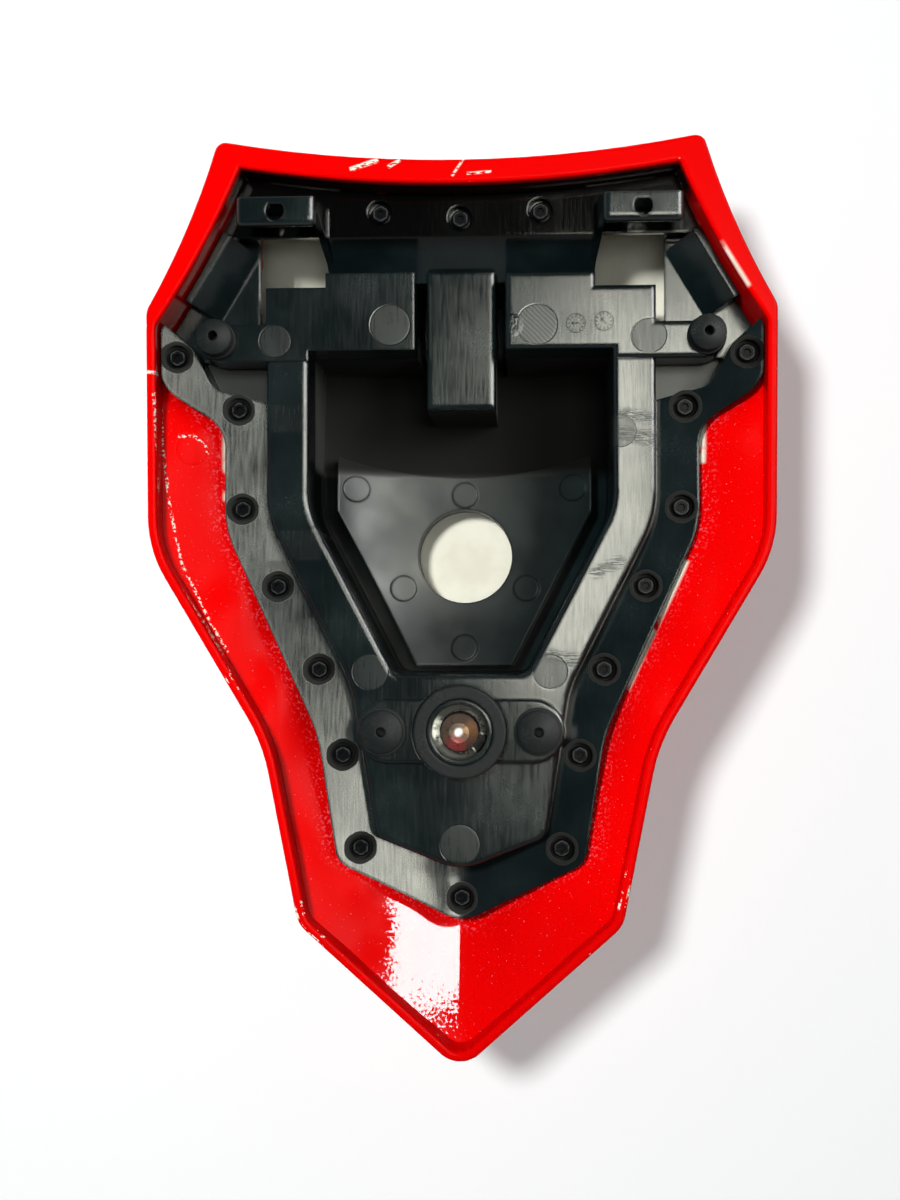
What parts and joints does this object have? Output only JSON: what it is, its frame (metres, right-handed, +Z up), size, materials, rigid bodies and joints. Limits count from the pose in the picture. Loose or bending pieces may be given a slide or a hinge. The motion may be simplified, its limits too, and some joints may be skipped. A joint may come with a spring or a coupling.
{
  "type": "motorbike seat cowl",
  "caption": "Motorbike seat cowl lying on its back: painted shell with a turned-out front lip, ribbed black inner base, hooks, lock pin and rubber buffers.",
  "frame": {"origin": "on the floor under the middle of the shell, which lies on its crown with the underside up", "axes": "+Z up out of the open underside, +Y to the wide front edge with the hooks, +X to the right in the picture"},
  "size_m": [0.2324, 0.3378, 0.0841],
  "materials": {
    "red_paint": "gloss red lacquer on cream-white plastic, worn to the plastic on edges",
    "black_plastic": "semi-gloss black moulding with a few scuffs",
    "black_steel": "black-oxide socket-head screws",
    "buffer_rubber": "matte grey-black rubber, dusty",
    "pin_steel": "turned steel with light rust",
    "ring_steel": "spring steel"
  },
  "bodies": {
    "root": {"outer_shell": "red_paint", "inner_base": "black_plastic", "cover_screws": "black_steel", "front_buffer_left": "buffer_rubber", "front_buffer_right": "buffer_rubber", "rear_buffer_left": "buffer_rubber", "rear_buffer_right": "buffer_rubber", "lock_buffer_ring": "buffer_rubber", "lock_pin": "pin_steel", "retaining_ring": "ring_steel"}
  },
  "joints": []
}
